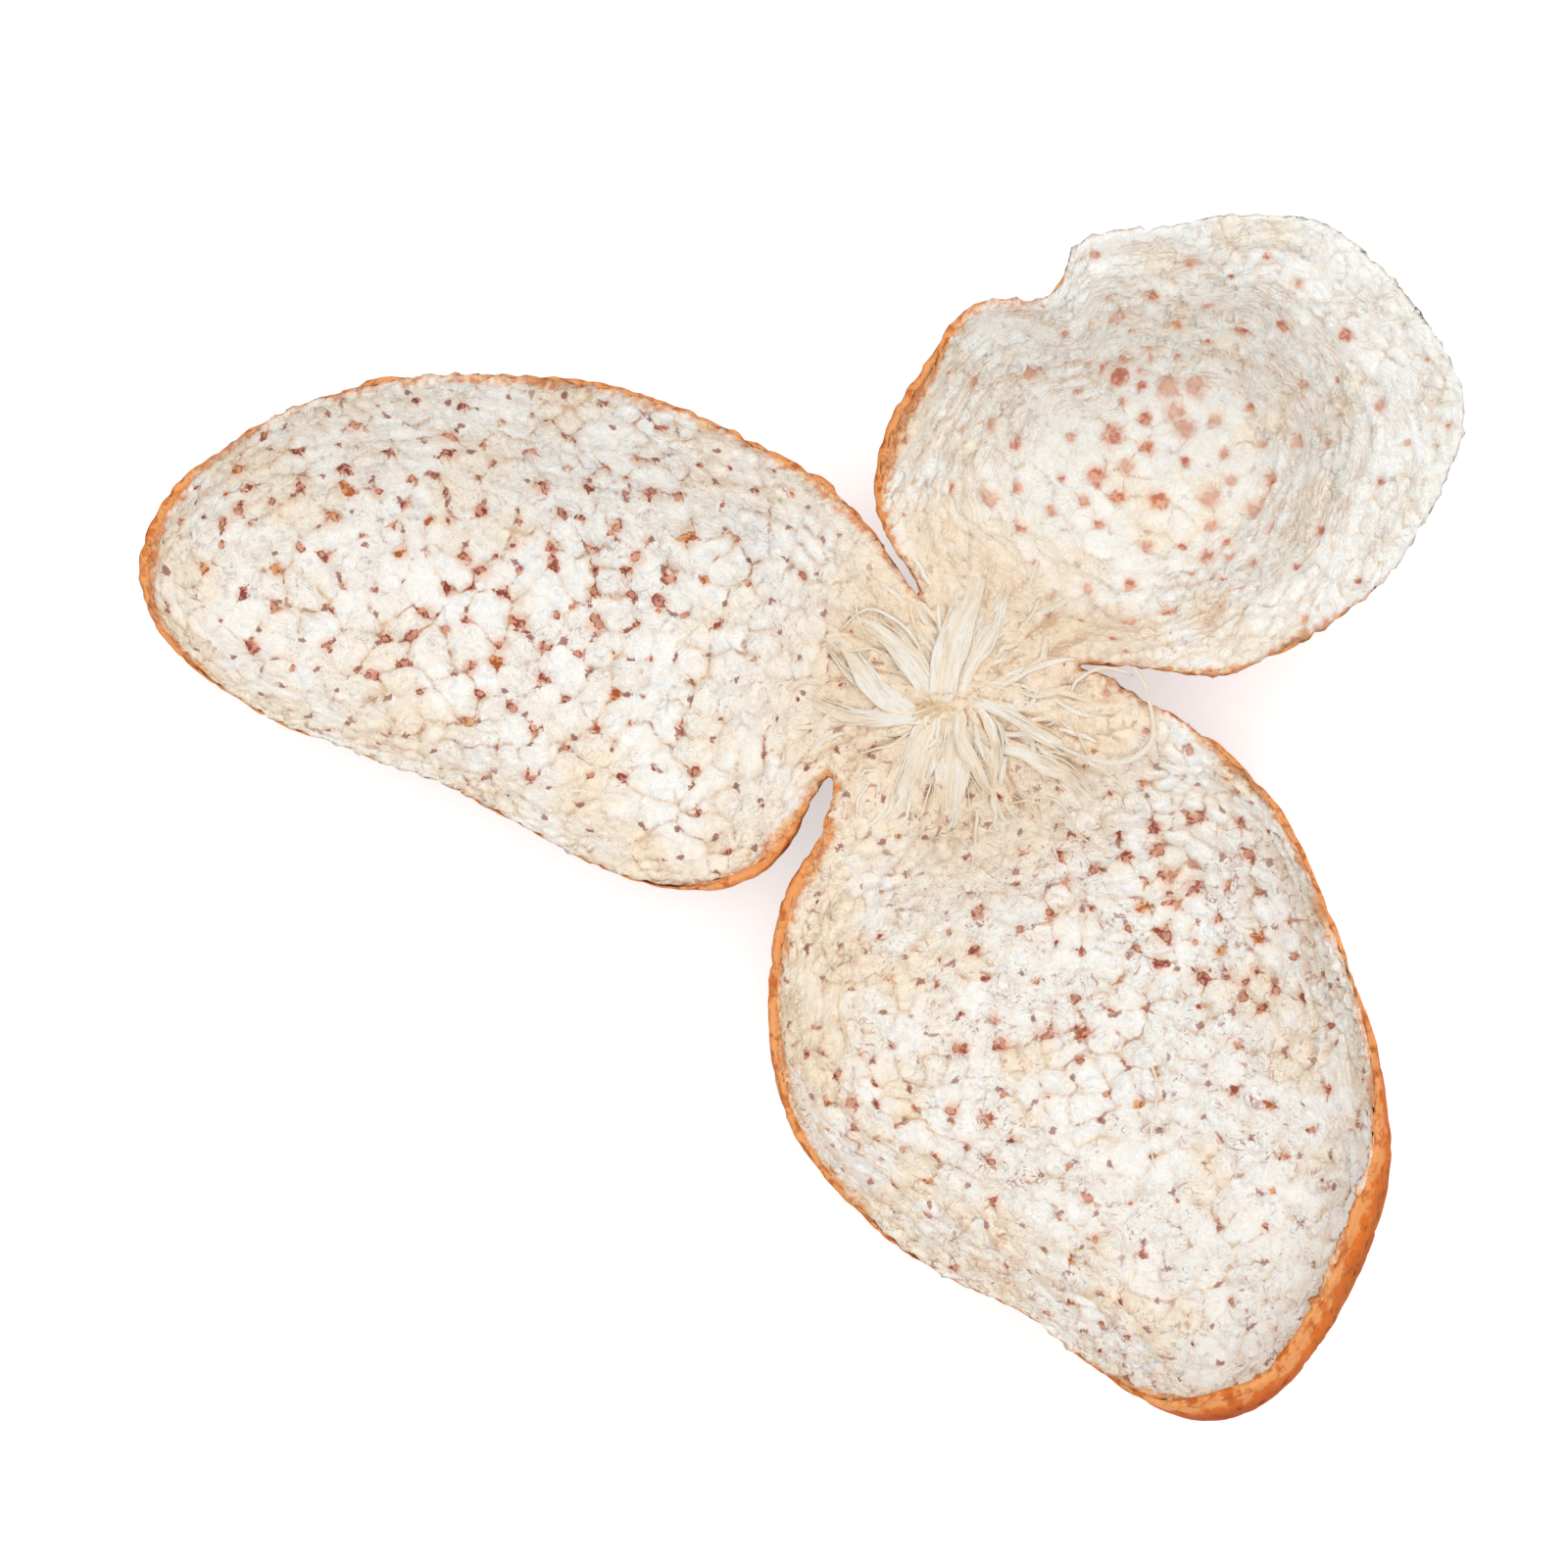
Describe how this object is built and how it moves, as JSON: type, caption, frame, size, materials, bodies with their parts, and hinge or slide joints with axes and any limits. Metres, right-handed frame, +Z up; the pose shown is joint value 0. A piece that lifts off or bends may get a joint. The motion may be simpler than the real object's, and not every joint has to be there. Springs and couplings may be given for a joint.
{
  "type": "mandarin peel",
  "caption": "Dried mandarin peel, opened out and lying rind side down: scooped lobes of crumbly white pith on a thin orange rind, joined at a fibrous hub.",
  "frame": {"origin": "bottom centre of the bounding box, in the plane of the table under the three bellies", "axes": "+Z up, out of the pith side; +X towards the two right-hand lobes, along the longest extent; the long single lobe points to -X, the two right-hand lobes to +Y and -Y"},
  "size_m": [0.1142, 0.1046, 0.0222],
  "materials": {
    "pith": "matt, crumbly and dry, cream-white inside with an orange-brown pitted rind outside"
  },
  "bodies": {
    "root": {"peel": "pith"}
  },
  "joints": []
}
